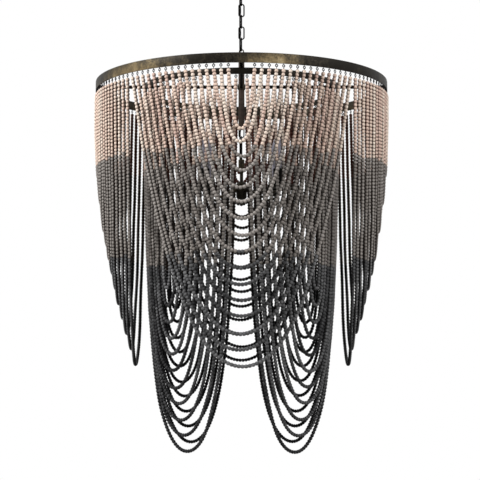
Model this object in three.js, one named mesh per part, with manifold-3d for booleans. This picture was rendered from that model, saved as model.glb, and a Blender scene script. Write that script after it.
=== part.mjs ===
// Beaded chandelier: two hoops on a chain, eight swags of wooden bead strands and a cluster of
// four candle lamps. Millimetres, +Z up. The origin is the middle of the ceiling plate's top face.
import * as THREE from 'three';
import { mergeVertices } from 'three/addons/utils/BufferGeometryUtils.js';
import Module from 'manifold-3d';

const wasm = await Module();
wasm.setup();

const degrees = Math.PI / 180;

// Clearances shared by all pieces
const gap = 0.3; // between two pieces that touch
const overrun = 2; // how far a cutting tool runs past the piece it cuts

// Ceiling fitting
const plateRadius = 50;
const plateThick = 4;
const bossRadius = 9;
const bossLength = 12;
const nippleRadius = 5;
const canopyRadius = 65;
const canopyDepth = 25;
const canopyWall = 1.5;
const canopyRounding = 14;
const screwRadius = 2;
const screwOffset = 34;
const ballNutRadius = 4.5;

// Chain and the loops at its two ends
const linkCount = 6;
const linkLength = 36.8;
const linkWidth = 14;
const linkWire = 3;
const canopyLoopReach = 34.7;
const canopyCollarRadius = 10;
const canopyCollarHeight = 7;
const stemLoopReach = 25;
const stemCollarRadius = 9;
const stemCollarHeight = 8;

// Stem and frame
const stemRadius = 8;
const stemBoreRadius = 5.6;
const stemAboveHoop = 75.5;
const stemBelowHoop = 101;
const hoopRadius = 381;
const hoopHeight = 24;
const hoopThick = 3;
const innerHoopRadius = 257;
const innerHoopHeight = 16;
const innerHoopThick = 3;
const spokeHeight = 8;
const spokeWidth = 8;
const hubRadius = 10;
const hubHeight = 14;

// Strands of beads, and the row of small wire rings that each swag hangs from
const beadDiameter = 9.2;
const threadRadius = 0.75;
const ringDrop = 11.5; // from a hoop's lower edge to the top of the first bead
const ringWidth = 5;
const ringWire = 1.2;
const knotLength = 2.6;
const outerSwag = {
  loops: 16,
  firstAngle: 4.6 * degrees,
  stepAngle: 2.6 * degrees,
  shallowest: 169, // lowest points, below the outer hoop's middle
  deepest: 719,
  growth: 1.08, // above 1, the short loops lie closer together than the long ones
  pulledInShare: 0.085, // how much narrower than a free catenary a loop is at its foot; below 0, wider
};
const innerSwag = {
  loops: 11,
  firstAngle: 4 * degrees,
  stepAngle: 3.8 * degrees,
  shallowest: 531,
  deepest: 933,
  growth: 1,
  pulledInShare: -0.1,
};

// Lamp cluster
const stemEyeWidth = 16;
const stemEyeReach = 22;
const stemEyeCollarHeight = 4;
const hangerEyeWidth = 13;
const hangerEyeLength = 19;
const hangerRodRadius = 2.5;
const hangerRodLength = 42;
const couplingRadius = 8;
const couplingHeight = 29;
const neckRadius = 4.5;
const neckHeight = 31;
const lampBodyRadius = 14;
const lampBodyHeight = 45;
const finialRadius = 7;
const finialHeight = 18;
const lampCount = 4;
const lampCircleRadius = 130;
const armRadius = 3.5;
const armDip = 16;
const panRadius = 19;
const panHeight = 5;
const sleeveRadius = 11;
const sleeveBoreRadius = 8;
const sleeveBoreDepth = 30;
const sleeveHeight = 46;
const bulbRadius = 17.5;
const bulbHeight = 84;
const bulbNeckRadius = 9;
const bulbBaseRadius = 6.8;
const bulbBaseLength = 27;

// Power cord
const cordDiameter = 4;
const cordHoleRadius = cordDiameter / 2 + gap;
const cordEntryOffset = 19;

// Facets
const outerHoopFacets = 72;
const innerHoopFacets = 48;
const turnedFacets = 12;
const canopyFacets = 24;
const strandSides = 4;
const wireSides = 6;
const fineWireSides = 3;
const cordSides = 8;
const bendSteps = 6;
const shortLoopSteps = 6;
const longLoopSteps = 8;

// Heights that follow from the sizes above. A bend's height is that of its wire's middle.
const hangStep = linkLength - 2 * linkWire - gap;
const overBend = linkWire + gap; // from a bend's wire to the wire of what hangs on it
const canopyCollarTop = -canopyDepth - gap;
const canopyCollarFoot = canopyCollarTop - canopyCollarHeight;
const canopyBend = canopyCollarFoot - canopyLoopReach;
const lastBend = canopyBend - linkCount * hangStep;
const stemCollarTop = lastBend + overBend - stemLoopReach;
const stemTop = stemCollarTop - stemCollarHeight - gap;
const hoopZ = stemTop - stemAboveHoop;
const stemFoot = hoopZ - stemBelowHoop;
const spokeTop = hoopZ + hoopHeight / 2;
const spokeFoot = spokeTop - spokeHeight;
const innerHoopTop = spokeFoot - gap;
const stemEyeTop = stemFoot - gap;
const stemEyeBend = stemEyeTop - stemEyeCollarHeight - stemEyeReach;
const hangerEyeTop = stemEyeBend + overBend;
const hangerRodFoot = hangerEyeTop - hangerEyeLength - hangerRodLength;
const couplingTop = hangerRodFoot - gap;
const couplingFoot = couplingTop - couplingHeight;
const lampBodyTop = couplingFoot - neckHeight;
const lampBodyFoot = lampBodyTop - lampBodyHeight;
const panTop = (lampBodyTop + lampBodyFoot) / 2;
const sleeveFoot = panTop + gap;
const sleeveTop = sleeveFoot + sleeveHeight;

// Finishes
const agedBrass = new THREE.MeshStandardMaterial({ color: 0x4a4130, metalness: 0.9, roughness: 0.5 });
const darkIron = new THREE.MeshStandardMaterial({ color: 0x2e2b27, metalness: 0.85, roughness: 0.5 });
const beadWood = new THREE.MeshStandardMaterial({ color: 0x8a7a72, metalness: 0, roughness: 0.75 });
const clearGlass = new THREE.MeshStandardMaterial({ color: 0xf1ece0, metalness: 0, roughness: 0.1 });
const wovenCord = new THREE.MeshStandardMaterial({ color: 0x1f1c1a, metalness: 0, roughness: 0.9 });

const chandelier = new THREE.Group();

function addPiece(name, geometry, material, parent = chandelier) {
  const mesh = new THREE.Mesh(geometry, material);
  mesh.name = name;
  parent.add(mesh);
}

const point = (x, y, z) => new THREE.Vector3(x, y, z);

// Solids and booleans

function solidOf(geometry) {
  const bare = geometry.clone();
  bare.deleteAttribute('normal');
  bare.deleteAttribute('uv');
  const merged = mergeVertices(bare);
  return new wasm.Manifold(
    new wasm.Mesh({
      numProp: 3,
      vertProperties: merged.attributes.position.array,
      triVerts: new Uint32Array(merged.index.array),
    }),
  );
}

function geometryOf(solid) {
  const { vertProperties, triVerts } = solid.getMesh();
  const geometry = new THREE.BufferGeometry();
  geometry.setAttribute('position', new THREE.BufferAttribute(vertProperties, 3));
  geometry.setIndex(new THREE.BufferAttribute(triVerts, 1));
  return geometry;
}

function joined(...geometries) {
  return geometryOf(geometries.map(solidOf).reduce((all, one) => all.add(one)));
}

function cut(geometry, ...tools) {
  return geometryOf(tools.map(solidOf).reduce((rest, tool) => rest.subtract(tool), solidOf(geometry)));
}

// A turned piece about the Z axis. The profile's pairs are a radius and a height.
function turned(profile, facets = turnedFacets) {
  const outline = profile.map(([radius, height]) => new THREE.Vector2(radius, height));
  if (THREE.ShapeUtils.area(outline) < 0) outline.reverse();
  return new THREE.LatheGeometry(outline, facets).rotateX(Math.PI / 2);
}

function rod(radius, top, foot, facets = turnedFacets) {
  return turned([[0, foot], [radius, foot], [radius, top], [0, top]], facets);
}

function collar(outerRadius, boreRadius, top, foot, facets = turnedFacets) {
  const profile = [
    [boreRadius, foot],
    [outerRadius, foot],
    [outerRadius, top],
    [boreRadius, top],
    [boreRadius, foot],
  ];
  return turned(profile, facets);
}

// A tube through the points, with one ring of corners and one radius at each of them.
function tube(points, radii, sides, closed = false) {
  const count = points.length;
  const near = (i) => points[closed ? (i + count) % count : Math.min(Math.max(i, 0), count - 1)];
  const ways = points.map((_, i) => near(i + 1).clone().sub(near(i - 1)).normalize());
  const upright = Math.abs(ways[0].z) > 0.9 ? point(1, 0, 0) : point(0, 0, 1);
  const normal = upright.cross(ways[0]).normalize();
  const turn = new THREE.Quaternion();
  const places = [];
  points.forEach((centre, i) => {
    if (i > 0) normal.applyQuaternion(turn.setFromUnitVectors(ways[i - 1], ways[i]));
    const across = ways[i].clone().cross(normal);
    for (let side = 0; side < sides; side++) {
      const angle = ((side + 0.5) * 2 * Math.PI) / sides;
      const corner = centre.clone();
      corner.addScaledVector(normal, radii[i] * Math.cos(angle));
      corner.addScaledVector(across, radii[i] * Math.sin(angle));
      places.push(...corner.toArray());
    }
  });
  const faces = [];
  for (let i = 0; i < (closed ? count : count - 1); i++) {
    const here = i * sides;
    const next = ((i + 1) % count) * sides;
    for (let side = 0; side < sides; side++) {
      const beside = (side + 1) % sides;
      faces.push(here + side, here + beside, next + beside, here + side, next + beside, next + side);
    }
  }
  if (!closed) {
    const last = (count - 1) * sides;
    for (let side = 1; side < sides - 1; side++) {
      faces.push(0, side + 1, side, last, last + side, last + side + 1);
    }
  }
  const geometry = new THREE.BufferGeometry();
  geometry.setAttribute('position', new THREE.BufferAttribute(new Float32Array(places), 3));
  geometry.setIndex(faces);
  return geometry;
}

const evenTube = (points, radius, sides, closed) =>
  tube(points, points.map(() => radius), sides, closed);

// Half a turn of wire in the XZ plane, with its crown up or down
function bend(halfWidth, crownZ, way) {
  const points = [];
  for (let step = 0; step <= bendSteps; step++) {
    const angle = (Math.PI * step) / bendSteps;
    const x = -way * halfWidth * Math.cos(angle);
    points.push(point(x, 0, crownZ - way * halfWidth * (1 - Math.sin(angle))));
  }
  return points;
}

// A chain link in the XZ plane, with the wire of its lower bend at footZ
function chainLink(footZ) {
  const halfWidth = (linkWidth - linkWire) / 2;
  const topZ = footZ + linkLength - linkWire;
  const points = [...bend(halfWidth, topZ, 1), ...bend(halfWidth, footZ, -1)];
  return evenTube(points, linkWire / 2, wireSides, true);
}

// A loop of wire in the XZ plane whose two legs end in a collar, at rootZ
function loopOnCollar(width, crownZ, rootZ) {
  const halfWidth = (width - linkWire) / 2;
  const way = Math.sign(crownZ - rootZ);
  const legs = bend(halfWidth, crownZ, way);
  const start = point(legs[0].x, 0, rootZ);
  const end = point(-legs[0].x, 0, rootZ);
  return evenTube([start, ...legs, end], linkWire / 2, wireSides);
}

// Ceiling fitting

const nippleTop = -plateThick - gap;
const bossFoot = -plateThick - bossLength;
const boreTop = nippleTop + gap;

function ceilingPlate() {
  return turned([
    [0, boreTop],
    [nippleRadius + gap, boreTop],
    [nippleRadius + gap, bossFoot],
    [bossRadius, bossFoot],
    [bossRadius, -plateThick],
    [plateRadius, -plateThick],
    [plateRadius, 0],
    [0, 0],
  ]);
}

function canopy() {
  const roundSteps = 3;
  const arc = (radius, centreR, centreZ) =>
    Array.from({ length: roundSteps + 1 }, (_, step) => {
      const angle = (Math.PI / 2) * (step / roundSteps);
      return [centreR + radius * Math.cos(angle), centreZ - radius * Math.sin(angle)];
    });
  const centreR = canopyRadius - canopyRounding;
  const centreZ = canopyRounding - canopyDepth;
  const holeRadius = nippleRadius + gap;
  const outside = [[canopyRadius, 0], ...arc(canopyRounding, centreR, centreZ), [holeRadius, -canopyDepth]];
  const inside = [
    [canopyRadius - canopyWall, 0],
    ...arc(canopyRounding - canopyWall, centreR, centreZ),
    [holeRadius, canopyWall - canopyDepth],
  ];
  const shell = turned([...outside, ...inside.reverse(), outside[0]], canopyFacets);
  const holeTop = -canopyDepth + canopyWall + overrun;
  const holeFoot = -canopyDepth - overrun;
  const screwHole = rod(screwRadius + gap, holeTop, holeFoot);
  return cut(
    shell,
    screwHole.clone().translate(screwOffset, 0, 0),
    screwHole.clone().translate(-screwOffset, 0, 0),
    rod(cordHoleRadius, holeTop, holeFoot).translate(-cordEntryOffset, 0, 0),
  );
}

function canopyScrew() {
  const nutTop = -canopyDepth - gap;
  const flat = ballNutRadius / 2;
  return turned([
    [0, nutTop - 2 * ballNutRadius + flat],
    [flat, nutTop - 2 * ballNutRadius + flat],
    [ballNutRadius, nutTop - ballNutRadius],
    [ballNutRadius, nutTop - flat],
    [flat + screwRadius, nutTop],
    [screwRadius, nutTop],
    [screwRadius, nippleTop],
    [0, nippleTop],
  ]);
}

function canopyLoop() {
  const stub = rod(nippleRadius, nippleTop, canopyCollarTop);
  const disc = rod(canopyCollarRadius, canopyCollarTop, canopyCollarFoot);
  const loop = loopOnCollar(linkWidth, canopyBend, canopyCollarFoot + linkWire).rotateZ(Math.PI / 2);
  return joined(disc, stub.translate(0, 0, -overrun), loop);
}

// Stem, hub and frame

// The cord passes a collar or a bore beside its middle, by this much on X and Y.
const cordInBore = -(stemBoreRadius - cordHoleRadius) / Math.SQRT2;
const cordHole = (top, foot, aside) => rod(cordHoleRadius, top, foot).translate(aside, aside, 0);

function stemLoop() {
  const disc = rod(stemCollarRadius, stemCollarTop, stemCollarTop - stemCollarHeight);
  const loop = loopOnCollar(linkWidth, lastBend + overBend, stemCollarTop - linkWire);
  const hole = cordHole(stemCollarTop + overrun, stemTop - overrun, cordInBore);
  return cut(joined(disc, loop), hole);
}

function stemEye() {
  const foot = stemEyeTop - stemEyeCollarHeight;
  const disc = rod(stemRadius, stemEyeTop, foot);
  const loop = loopOnCollar(stemEyeWidth, stemEyeBend, foot + linkWire);
  const hole = cordHole(stemEyeTop + overrun, foot - overrun, cordInBore);
  return cut(joined(disc, loop), hole);
}

const hoop = (radius, thick, top, height, facets) =>
  collar(radius + thick / 2, radius - thick / 2, top, top - height, facets);

function spoke() {
  const inner = hubRadius + gap;
  // a facet's middle lies closer to the axis than the hoop's corners do
  const facetShare = Math.cos(Math.PI / outerHoopFacets);
  const outer = (hoopRadius - hoopThick / 2) * facetShare - gap;
  const bar = new THREE.BoxGeometry(outer - inner, spokeWidth, spokeHeight);
  return bar.translate((inner + outer) / 2, 0, spokeTop - spokeHeight / 2);
}

// Bead strands

// The scale of a catenary with this half span and this depth, found by bisection
function catenaryScale(halfSpan, depth) {
  let low = halfSpan / 20;
  let high = halfSpan * 50;
  for (let round = 0; round < 60; round++) {
    const middle = Math.sqrt(low * high);
    if (middle * (Math.cosh(halfSpan / middle) - 1) > depth) low = middle;
    else high = middle;
  }
  return Math.sqrt(low * high);
}

const smooth = (u) => u * u * (3 - 2 * u);

// One loop's points from its left ring to its right ring, seen from outside. The swag's middle
// is on +X, and the loop hangs in the upright plane through its two rings.
function strandLoop(swag, radius, topZ, index) {
  const angle = swag.firstAngle + index * swag.stepAngle;
  const share = (index / (swag.loops - 1)) ** swag.growth;
  const footZ = hoopZ - swag.shallowest - share * (swag.deepest - swag.shallowest);
  const halfSpan = radius * Math.sin(angle);
  const depth = topZ - footZ;
  const scale = catenaryScale(halfSpan, depth);
  const steepest = Math.atan(Math.sinh(halfSpan / scale));
  const steps = footZ > hoopZ - innerSwag.shallowest ? shortLoopSteps : longLoopSteps;
  return Array.from({ length: steps + 1 }, (_, step) => {
    const lean = steepest * ((2 * step) / steps - 1);
    const y = scale * Math.asinh(Math.tan(lean));
    const z = footZ + scale * (Math.cosh(y / scale) - 1);
    const pull = 1 - swag.pulledInShare * smooth((topZ - z) / depth);
    return point(radius * Math.cos(angle), y * pull, z);
  });
}

// All loops of a swag on one thread, which runs on from ring to ring between the loops
function swagStrands(swag, radius, hoopFoot) {
  const strandTop = hoopFoot - ringDrop;
  const points = [];
  const radii = [];
  for (let index = 0; index < swag.loops; index++) {
    const loop = strandLoop(swag, radius, strandTop, index);
    if (index % 2) loop.reverse();
    const knots = [loop[0], loop[loop.length - 1]].map((end) => point(end.x, end.y, end.z + knotLength));
    points.push(knots[0], ...loop, knots[1]);
    radii.push(threadRadius, ...loop.map(() => beadDiameter / 2), threadRadius);
  }
  return tube(points, radii, strandSides);
}

// The small rings under a hoop, bent from one wire: a narrow loop at each strand's end
function ringRow(swag, radius, hoopFoot) {
  const top = hoopFoot - gap - ringWire / 2;
  const foot = hoopFoot - ringDrop + knotLength + threadRadius + gap + ringWire / 2;
  const places = Array.from({ length: swag.loops }, (_, index) => index);
  const angles = places.map((index) => swag.firstAngle + index * swag.stepAngle);
  const halfRing = ringWidth / 2 / radius;
  const onHoop = (angle, z) => point(radius * Math.cos(angle), radius * Math.sin(angle), z);
  const points = [];
  for (const angle of [...angles.map((one) => -one).reverse(), ...angles]) {
    points.push(onHoop(angle - halfRing, top), onHoop(angle, foot), onHoop(angle + halfRing, top));
  }
  return evenTube(points, ringWire / 2, fineWireSides);
}

// Lamp cluster

function lampHanger() {
  const halfWidth = (hangerEyeWidth - linkWire) / 2;
  const eyeFoot = hangerEyeTop - hangerEyeLength + linkWire;
  const eyePoints = [...bend(halfWidth, hangerEyeTop, 1), ...bend(halfWidth, eyeFoot, -1)];
  const eye = evenTube(eyePoints, linkWire / 2, wireSides, true).rotateZ(Math.PI / 2);
  return joined(rod(hangerRodRadius, eyeFoot, hangerRodFoot), eye);
}

function lampBody() {
  const roll = lampBodyRadius / 3;
  const turning = turned([
    [0, couplingTop],
    [couplingRadius, couplingTop],
    [couplingRadius, couplingFoot],
    [neckRadius, couplingFoot - neckRadius],
    [neckRadius, lampBodyTop],
    [lampBodyRadius - roll, lampBodyTop],
    [lampBodyRadius, lampBodyTop - roll],
    [lampBodyRadius, lampBodyFoot + roll],
    [lampBodyRadius - roll, lampBodyFoot],
    [0, lampBodyFoot],
  ]);
  return cut(turning, cordHole(couplingTop + overrun, couplingTop - cordDiameter - gap, cordAtLamp));
}

function finial() {
  const top = lampBodyFoot - gap;
  const neck = finialRadius / 2;
  return turned([
    [0, top],
    [neck, top],
    [neck, top - neck],
    [finialRadius, top - finialRadius],
    [finialRadius, top - finialHeight / 2],
    [neck, top - finialHeight + neck / 2],
    [0, top - finialHeight],
  ], turnedFacets / 2);
}

function arm() {
  const rootZ = (lampBodyTop + lampBodyFoot) / 2;
  const endZ = panTop - panHeight - gap;
  const start = lampBodyRadius + gap;
  const span = lampCircleRadius - start;
  const path = new THREE.CatmullRomCurve3([
    point(start, 0, rootZ),
    point(start + span / 8, 0, rootZ),
    point(start + span / 2, 0, endZ - armDip),
    point(lampCircleRadius - span / 8, 0, endZ - armDip / 2),
    point(lampCircleRadius, 0, endZ - armRadius),
  ]);
  const end = point(lampCircleRadius, 0, endZ);
  return evenTube([...path.getSpacedPoints(2 * bendSteps), end], armRadius, wireSides);
}

function dripPan() {
  const foot = panTop - panHeight;
  return turned([
    [0, foot],
    [armRadius + gap, foot],
    [panRadius, panTop - gap],
    [panRadius - gap, panTop],
    [0, panTop],
  ]);
}

function candleSleeve() {
  return turned([
    [0, sleeveFoot],
    [sleeveRadius, sleeveFoot],
    [sleeveRadius, sleeveTop],
    [sleeveBoreRadius, sleeveTop],
    [sleeveBoreRadius, sleeveTop - sleeveBoreDepth],
    [0, sleeveTop - sleeveBoreDepth],
  ]);
}

// A candle bulb's glass, as shares of its largest radius and of its height
const bulbRadiusShares = [0.62, 0.86, 1, 0.94, 0.7, 0.36, 0.1];
const bulbHeightShares = [0.08, 0.2, 0.38, 0.56, 0.75, 0.92, 1];

function bulb() {
  const foot = sleeveTop + gap;
  const glass = bulbRadiusShares.map((share, i) => {
    return [bulbRadius * share, foot + bulbHeight * bulbHeightShares[i]];
  });
  return turned([
    [0, sleeveTop - bulbBaseLength],
    [bulbBaseRadius, sleeveTop - bulbBaseLength],
    [bulbBaseRadius, foot],
    [bulbNeckRadius, foot],
    ...glass,
    [0, foot + bulbHeight],
  ]);
}

// Power cord

// Beside the lamp hanger's rod, by this much on X and Y
const cordAtLamp = -(couplingRadius - cordHoleRadius) / Math.SQRT2 + 2 * gap;

// The cord weaves through each open link, from one side of the chain to the other. A crossing's
// pairs are a place on X and a height, both measured from the link's middle, then a place on Y.
const crossing = [
  [-4, 18, 5],
  [-3.9, 13, 4.6],
  [-2.6, 9, 3.6],
  [-1.6, 0, 0],
  [-2.6, -9, -3.6],
  [-3.9, -13, -4.6],
  [-4, -18, -5],
];
const besideLink = 4.6;

function powerCord() {
  const canopyInside = canopyWall - canopyDepth;
  const canopyLoopZ = canopyBend + linkLength / 2;
  const points = [
    point(-cordEntryOffset, 0, canopyInside + cordDiameter),
    point(-cordEntryOffset, 0, -canopyDepth - cordDiameter),
    point(-cordEntryOffset + cordDiameter, cordDiameter / 2, -canopyDepth - 3 * cordDiameter),
    point(crossing[0][0] - cordDiameter, besideLink, canopyLoopZ + cordDiameter / 2),
    point(crossing[0][0], besideLink, canopyLoopZ - 2 * cordDiameter),
  ];
  let side = 1;
  for (let link = 1; link <= linkCount; link += 2) {
    const middleZ = canopyBend - link * hangStep + (linkLength - linkWire) / 2;
    for (const [x, height, y] of crossing) points.push(point(x, side * y, middleZ + height));
    side = -side;
    if (link + 1 <= linkCount) points.push(point(crossing[0][0], side * besideLink, middleZ - hangStep));
  }
  const stemMouth = point(cordInBore, cordInBore, stemCollarTop);
  const down = (from, drop) => point(from.x, from.y, from.z - drop);
  const eyeZ = stemEyeTop - stemEyeCollarHeight;
  const beside = cordAtLamp - gap;
  points.push(
    point(cordInBore + crossing[0][0] / 4, cordInBore - cordDiameter / 2, stemCollarTop + 2 * cordDiameter),
    stemMouth,
    down(stemMouth, 2 * cordDiameter),
    down(stemMouth, (stemTop - stemFoot) / 2),
    point(cordInBore, cordInBore, stemFoot + cordDiameter),
    point(cordInBore, cordInBore, eyeZ),
    point(beside, beside, eyeZ - 2 * cordDiameter),
    point(beside, beside, stemEyeBend),
    point(cordAtLamp, cordAtLamp, hangerEyeTop - hangerEyeLength - hangerRodLength / 2),
    point(cordAtLamp, cordAtLamp, couplingTop),
    point(cordAtLamp, cordAtLamp, couplingTop - cordDiameter),
  );
  const path = new THREE.CatmullRomCurve3(points, false, 'centripetal');
  return evenTube(path.getPoints(2 * (points.length - 1)), cordDiameter / 2, cordSides);
}

// Assembly

addPiece('ceiling_plate', ceilingPlate(), darkIron);
addPiece('canopy', canopy(), agedBrass);
addPiece('canopy_screw_left', canopyScrew().translate(-screwOffset, 0, 0), agedBrass);
addPiece('canopy_screw_right', canopyScrew().translate(screwOffset, 0, 0), agedBrass);
addPiece('canopy_loop', canopyLoop(), darkIron);

for (let link = 1; link <= linkCount; link++) {
  const turnedBy = link % 2 ? 0 : Math.PI / 2;
  addPiece(`chain_link_${link}`, chainLink(canopyBend - link * hangStep).rotateZ(turnedBy), darkIron);
}

addPiece('power_cord', powerCord(), wovenCord);
addPiece('stem_loop', stemLoop(), darkIron);
addPiece('stem', collar(stemRadius, stemBoreRadius, stemTop, stemFoot), darkIron);
const hubTop = (spokeTop + spokeFoot + hubHeight) / 2;
addPiece('hub', collar(hubRadius, stemRadius + gap, hubTop, hubTop - hubHeight), agedBrass);
const outerHoop = hoop(hoopRadius, hoopThick, spokeTop, hoopHeight, outerHoopFacets);
const innerHoop = hoop(innerHoopRadius, innerHoopThick, innerHoopTop, innerHoopHeight, innerHoopFacets);
addPiece('outer_hoop', outerHoop, agedBrass);
addPiece('inner_hoop', innerHoop, agedBrass);

const quarters = ['right', 'back', 'left', 'front'];
const corners = ['back_right', 'back_left', 'front_left', 'front_right'];
const quarterTurn = Math.PI / 2;

quarters.forEach((quarter, index) => {
  const group = new THREE.Group();
  group.rotation.z = index * quarterTurn;
  chandelier.add(group);
  const hoopFoot = spokeTop - hoopHeight;
  addPiece(`spoke_${quarter}`, spoke(), darkIron, group);
  addPiece(`rings_outer_${quarter}`, ringRow(outerSwag, hoopRadius, hoopFoot), darkIron, group);
  addPiece(`swag_outer_${quarter}`, swagStrands(outerSwag, hoopRadius, hoopFoot), beadWood, group);
});

corners.forEach((corner, index) => {
  const group = new THREE.Group();
  group.rotation.z = (index + 0.5) * quarterTurn;
  chandelier.add(group);
  const hoopFoot = innerHoopTop - innerHoopHeight;
  addPiece(`rings_inner_${corner}`, ringRow(innerSwag, innerHoopRadius, hoopFoot), darkIron, group);
  addPiece(`swag_inner_${corner}`, swagStrands(innerSwag, innerHoopRadius, hoopFoot), beadWood, group);
});

addPiece('stem_eye', stemEye(), darkIron);
addPiece('lamp_hanger', lampHanger(), darkIron);
addPiece('lamp_body', lampBody(), agedBrass);
addPiece('finial', finial(), agedBrass);

for (let lamp = 0; lamp < lampCount; lamp++) {
  const group = new THREE.Group();
  group.rotation.z = ((lamp + 0.5) * 2 * Math.PI) / lampCount;
  chandelier.add(group);
  const number = lamp + 1;
  addPiece(`arm_${number}`, arm(), agedBrass, group);
  const along = (geometry) => geometry.translate(lampCircleRadius, 0, 0);
  addPiece(`drip_pan_${number}`, along(dripPan()), agedBrass, group);
  addPiece(`candle_sleeve_${number}`, along(candleSleeve()), darkIron, group);
  addPiece(`bulb_${number}`, along(bulb()), clearGlass, group);
}

export default chandelier;
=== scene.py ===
"""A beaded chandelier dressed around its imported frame: strands of painted wooden beads on two
aged brass hoops, a chain with its flex, and a cluster of candle bulbs. Metres, +Z up."""

import math

import bpy
import numpy as np
from mathutils import Matrix, Vector


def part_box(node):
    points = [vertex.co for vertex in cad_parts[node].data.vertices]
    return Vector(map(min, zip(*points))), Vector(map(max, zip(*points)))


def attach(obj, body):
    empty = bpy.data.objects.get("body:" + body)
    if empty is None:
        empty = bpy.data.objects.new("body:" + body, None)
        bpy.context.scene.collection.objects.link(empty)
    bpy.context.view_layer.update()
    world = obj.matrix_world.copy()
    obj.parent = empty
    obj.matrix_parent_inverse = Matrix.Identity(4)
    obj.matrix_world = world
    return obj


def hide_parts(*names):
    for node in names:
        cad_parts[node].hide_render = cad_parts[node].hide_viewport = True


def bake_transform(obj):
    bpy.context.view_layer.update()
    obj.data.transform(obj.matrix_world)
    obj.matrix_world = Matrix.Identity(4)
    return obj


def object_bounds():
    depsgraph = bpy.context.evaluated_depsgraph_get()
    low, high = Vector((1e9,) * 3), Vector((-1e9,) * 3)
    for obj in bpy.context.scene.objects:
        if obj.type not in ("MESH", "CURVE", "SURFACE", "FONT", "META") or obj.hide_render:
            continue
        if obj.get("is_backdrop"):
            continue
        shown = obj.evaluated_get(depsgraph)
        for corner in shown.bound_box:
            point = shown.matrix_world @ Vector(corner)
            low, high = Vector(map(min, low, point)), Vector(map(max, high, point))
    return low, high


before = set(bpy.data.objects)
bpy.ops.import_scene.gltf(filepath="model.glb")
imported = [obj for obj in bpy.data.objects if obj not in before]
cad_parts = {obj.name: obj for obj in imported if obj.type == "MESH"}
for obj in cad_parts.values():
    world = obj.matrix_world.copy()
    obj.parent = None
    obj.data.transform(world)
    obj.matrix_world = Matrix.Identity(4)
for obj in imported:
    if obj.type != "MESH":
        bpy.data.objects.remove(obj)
cad_low, cad_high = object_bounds()

MM = 0.001
QUARTER = math.pi / 2

# Sizes that the solids follow too
GAP = 0.3 * MM
HOOP_RADIUS = 381 * MM
INNER_HOOP_RADIUS = 257 * MM
HOOP_THICK = 3 * MM
BEAD = 9.2 * MM
RING_DROP = 11.5 * MM
LINK_LENGTH = 36.8 * MM
LINK_WIDTH = 14 * MM
LINK_WIRE = 3 * MM
LINK_COUNT = 6
CORD = 4 * MM
STEM_BORE = 5.6 * MM
EYE_THICK = 4 * MM
EYE_REACH = 22 * MM
COUPLING = 8 * MM
LAMP_CIRCLE = 130 * MM

# The barrels that are drawn on the solids' plain strands
BEAD_BELLY = 9.6 * MM
BEAD_PITCH = 8.55 * MM
BEAD_SWELL = 0.58

hoop_low, hoop_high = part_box("outer_hoop")
HOOP_Z = (hoop_low.z + hoop_high.z) / 2
HANG_STEP = LINK_LENGTH - 2 * LINK_WIRE - GAP
FIRST_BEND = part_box("chain_link_1")[1].z - 1.5 * LINK_WIRE - GAP
BENDS = [FIRST_BEND - HANG_STEP * place for place in range(LINK_COUNT + 1)]
STEM_LOOP_TOP = BENDS[-1] + LINK_WIRE + GAP
STEM_COLLAR_TOP = STEM_LOOP_TOP - 25 * MM
EYE_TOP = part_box("stem")[0].z - GAP
EYE_CROWN = EYE_TOP - EYE_THICK - EYE_REACH

# One swag on each quarter of a hoop. Depths are measured down from the outer hoop's middle. A swag
# sways about a line along its chord, hinge_out from the shade's axis, by most_sway at most.
OUTER = {
    "loops": 16,
    "first": math.radians(4.6),
    "step": math.radians(2.6),
    "shallowest": 169 * MM,
    "deepest": 719 * MM,
    "growth": 1.08,
    "pulled_in": 0.085,
    "radius": HOOP_RADIUS,
    "hoop_foot": hoop_low.z,
    "hinge_out": 330 * MM,
    "most_sway": math.radians(5),
    "dye_shift": 0.0,
}
INNER = {
    "loops": 11,
    "first": math.radians(4.0),
    "step": math.radians(3.8),
    "shallowest": 531 * MM,
    "deepest": 933 * MM,
    "growth": 1.0,
    "pulled_in": -0.1,
    "radius": INNER_HOOP_RADIUS,
    "hoop_foot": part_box("inner_hoop")[0].z,
    "hinge_out": 227.5 * MM,
    "most_sway": math.radians(2.5),
    "dye_shift": -0.02,
}
SIDES = ["right", "back", "left", "front"]
CORNERS = ["back_right", "back_left", "front_left", "front_right"]
SWAGS = [("outer_" + side, OUTER, QUARTER * turn) for turn, side in enumerate(SIDES)]
SWAGS += [("inner_" + corner, INNER, QUARTER * (turn + 0.5)) for turn, corner in enumerate(CORNERS)]


# Camera, at the photograph's angle


def aim_camera():
    """The view that fits the hoops, the stem and the lowest loops in the picture. Its middle is
    aside pixels off the stem."""
    away, below_hoop, pitch = 3.1178, 0.6308, math.radians(4.284)
    film, focal_length, picture, aside = 36, 89.57, 480, 1.5
    lens = bpy.data.cameras.new("camera")
    lens.sensor_width = film
    lens.lens = focal_length
    camera = bpy.data.objects.new("camera", lens)
    camera.location = (0, -away, HOOP_Z - below_hoop)
    turn = math.atan(aside / picture * film / lens.lens)
    camera.rotation_euler = (QUARTER + pitch, 0, turn)
    bpy.context.scene.collection.objects.link(camera)
    bpy.context.scene.camera = camera


aim_camera()


# Helpers for nodes and materials

# Short names for the kinds of node that come up most
MATH = "ShaderNodeMath"
VECTOR = "ShaderNodeVectorMath"
RAMP = "ShaderNodeValToRGB"
RANGE = "ShaderNodeMapRange"
ATTRIBUTE = "GeometryNodeInputNamedAttribute"
STORE = "GeometryNodeStoreNamedAttribute"
TRIPLE = "ShaderNodeCombineXYZ"


def linear(colour):
    """A hex colour as linear red, green, blue and alpha."""
    shares = [int(colour[at : at + 2], 16) / 255 for at in (1, 3, 5)]
    return [c / 12.92 if c <= 0.04045 else ((c + 0.055) / 1.055) ** 2.4 for c in shares] + [1]


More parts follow.
